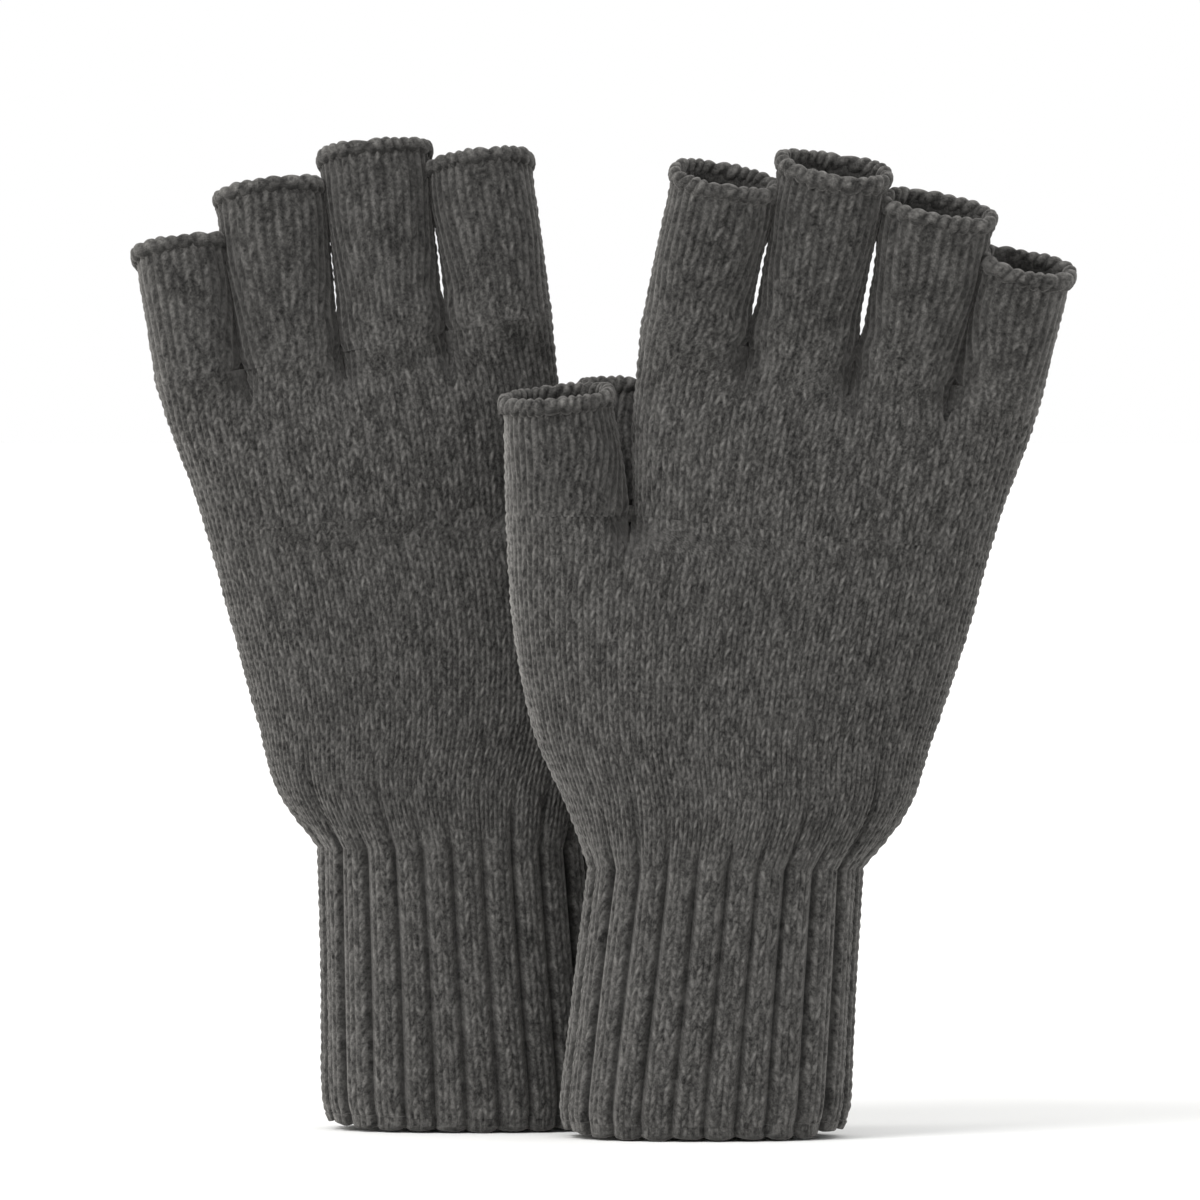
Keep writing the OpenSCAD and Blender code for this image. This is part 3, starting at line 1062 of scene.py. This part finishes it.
def floor_material():
    material = bpy.data.materials.new("pale_floor")
    material.use_nodes = True
    shader = material.node_tree.nodes["Principled BSDF"]
    set_inputs(shader, {"Base Color": (0.92, 0.92, 0.91, 1), "Roughness": 0.9, "Specular IOR Level": 0.1})
    return material


DARK = (0.012, 0.0117, 0.0113)
LIGHT = (0.151, 0.1465, 0.1395)
MATERIALS = {
    "jersey_knit": wool("jersey_wool", DARK, LIGHT, 0.22),
    "rib_knit": wool("rib_wool", DARK, LIGHT, 0.18),
    "edge_yarn": wool("edge_wool", DARK, LIGHT, 0.24),
    "elastic": wool("elastic_thread", (0.012, 0.012, 0.014), (0.04, 0.04, 0.043), 0.7, sheen=0.1),
}


# ---------------------------------------------------------------- putting the pair together

def point_of(glove, local):
    return Vector(glove.world(np.array(local, float)))


def tube_length(shape, up):
    """Length round a course, in metres."""
    loop = shape.course(up)[0]
    return arc_lengths(np.concatenate((loop, loop[:1])))[-1] * MM


def declare(piece, shape, length):
    """Works out how wide and how large the tube's fabric is when it is laid flat, and does nothing more with it.
    """
    widest = max(tube_length(shape, up) for up in (0.0, 0.5, 1.0))
    area = sum(tube_length(shape, up) for up in (0.0, 0.25, 0.5, 0.75, 1.0)) / 5 * length * MM


def build_glove(side):
    glove = Glove(side)
    hand_body, cuff_body = side + "_hand", side + "_cuff"
    cuff = Cuff(glove)
    cuff_piece = knitted_tube(side + "_cuff", "rib_knit", glove, cuff, rib_place, lambda rib: rib)
    hem = make_hem(glove, cuff)
    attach(hem, cuff_body)
    elastic = make_elastic(glove, cuff)
    for piece in (cuff_piece, elastic):
        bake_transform(piece, hand_body, cuff_body,
                 start=point_of(glove, (0, 0, 0)), end=point_of(glove, (0, 0, -WRIST_BEND)))
    declare(cuff_piece, cuff, cuff.length)

    tacks = make_tacks(glove)
    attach(tacks, hand_body)
    for part in ("lower_hand", "upper_hand"):
        shape = Hand(glove, part)
        piece = knitted_tube(f"{side}_{part}", "jersey_knit", glove, shape, yarn_place, rib_under)
        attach(piece, hand_body)
        declare(piece, shape, shape.length)

    for finger in STALLS:
        stall = Stall(glove, finger)
        piece = knitted_tube(f"{side}_{finger}_stall", "jersey_knit", glove, stall, yarn_place, rib_under)
        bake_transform(piece, hand_body, f"{side}_{finger}",
                 start=point_of(glove, stall.base), end=point_of(glove, stall.base + stall.way * FINGER_BEND))
        rim = make_rim(glove, stall)
        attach(rim, f"{side}_{finger}")
        declare(piece, stall, stall.fabric_length)


for glove_side in SIDES:
    build_glove(glove_side)


# ---------------------------------------------------------------- floor, light and camera

def put_facing(name, data, place):
    """A lamp or camera that looks at the pair from a place."""
    thing = put(name, data)
    thing.location = place
    thing.rotation_euler = (TARGET - thing.location).to_track_quat("-Z", "Y").to_euler()
    return thing


def area_light(name, place, size, power, colour=(1, 1, 1)):
    light = bpy.data.lights.new(name, "AREA")
    light.shape = "RECTANGLE"
    light.size, light.size_y = size
    light.energy = power
    light.color = colour
    put_facing(name, light, place)


def sun_light(name, direction, power, spread):
    """A soft sun that shines from a direction, spread over a number of degrees."""
    light = bpy.data.lights.new(name, "SUN")
    light.energy = power
    light.angle = math.radians(spread)
    put(name, light).rotation_euler = Vector(direction).to_track_quat("Z", "Y").to_euler()


LOW, HIGH = (Vector(corner) for corner in CAD_BOX)
CENTRE = (LOW + HIGH) / 2
SIZE = HIGH - LOW
TARGET = CENTRE + Vector((0, 0, 0.033 * SIZE.z))

FLOOR_REACH = 30.0    # in metres, far past everything that the camera sees
floor_mesh = bpy.data.meshes.new("floor")
floor_corners = [(x * FLOOR_REACH, y * FLOOR_REACH, 0) for x, y in ((-1, -1), (1, -1), (1, 1), (-1, 1))]
floor_mesh.from_pydata(floor_corners, [], [(0, 1, 2, 3)])
floor_mesh.materials.append(floor_material())
floor = put("floor", floor_mesh)

world = bpy.data.worlds.new("studio")
world.use_nodes = True
set_inputs(world.node_tree.nodes["Background"], {"Color": (1, 1, 1, 1), "Strength": 1.0})
bpy.context.scene.world = world
sun_light("key", (-0.75, -0.6, 0.8), 1.8, 30)
sun_light("fill", (0.8, -0.6, 0.35), 0.15, 60)
area_light("edge", (-1.1, 0.15, 0.25), (0.4, 0.8), 4, (1.0, 0.96, 0.9))

VIEW_DISTANCE = 2.8               # in metres
VIEW_HEIGHT = math.radians(1.0)   # the photograph looks almost level
FRAME_WIDTH = 1.267 * SIZE.x
SENSOR = 36
camera_data = bpy.data.cameras.new("camera")
camera_data.sensor_width = SENSOR
camera_data.lens = SENSOR * VIEW_DISTANCE / FRAME_WIDTH
viewpoint = TARGET + VIEW_DISTANCE * Vector((0, -math.cos(VIEW_HEIGHT), math.sin(VIEW_HEIGHT)))
bpy.context.scene.camera = put_facing("camera", camera_data, viewpoint)
bpy.context.scene.view_settings.view_transform = "Standard"

bpy.context.view_layer.update()
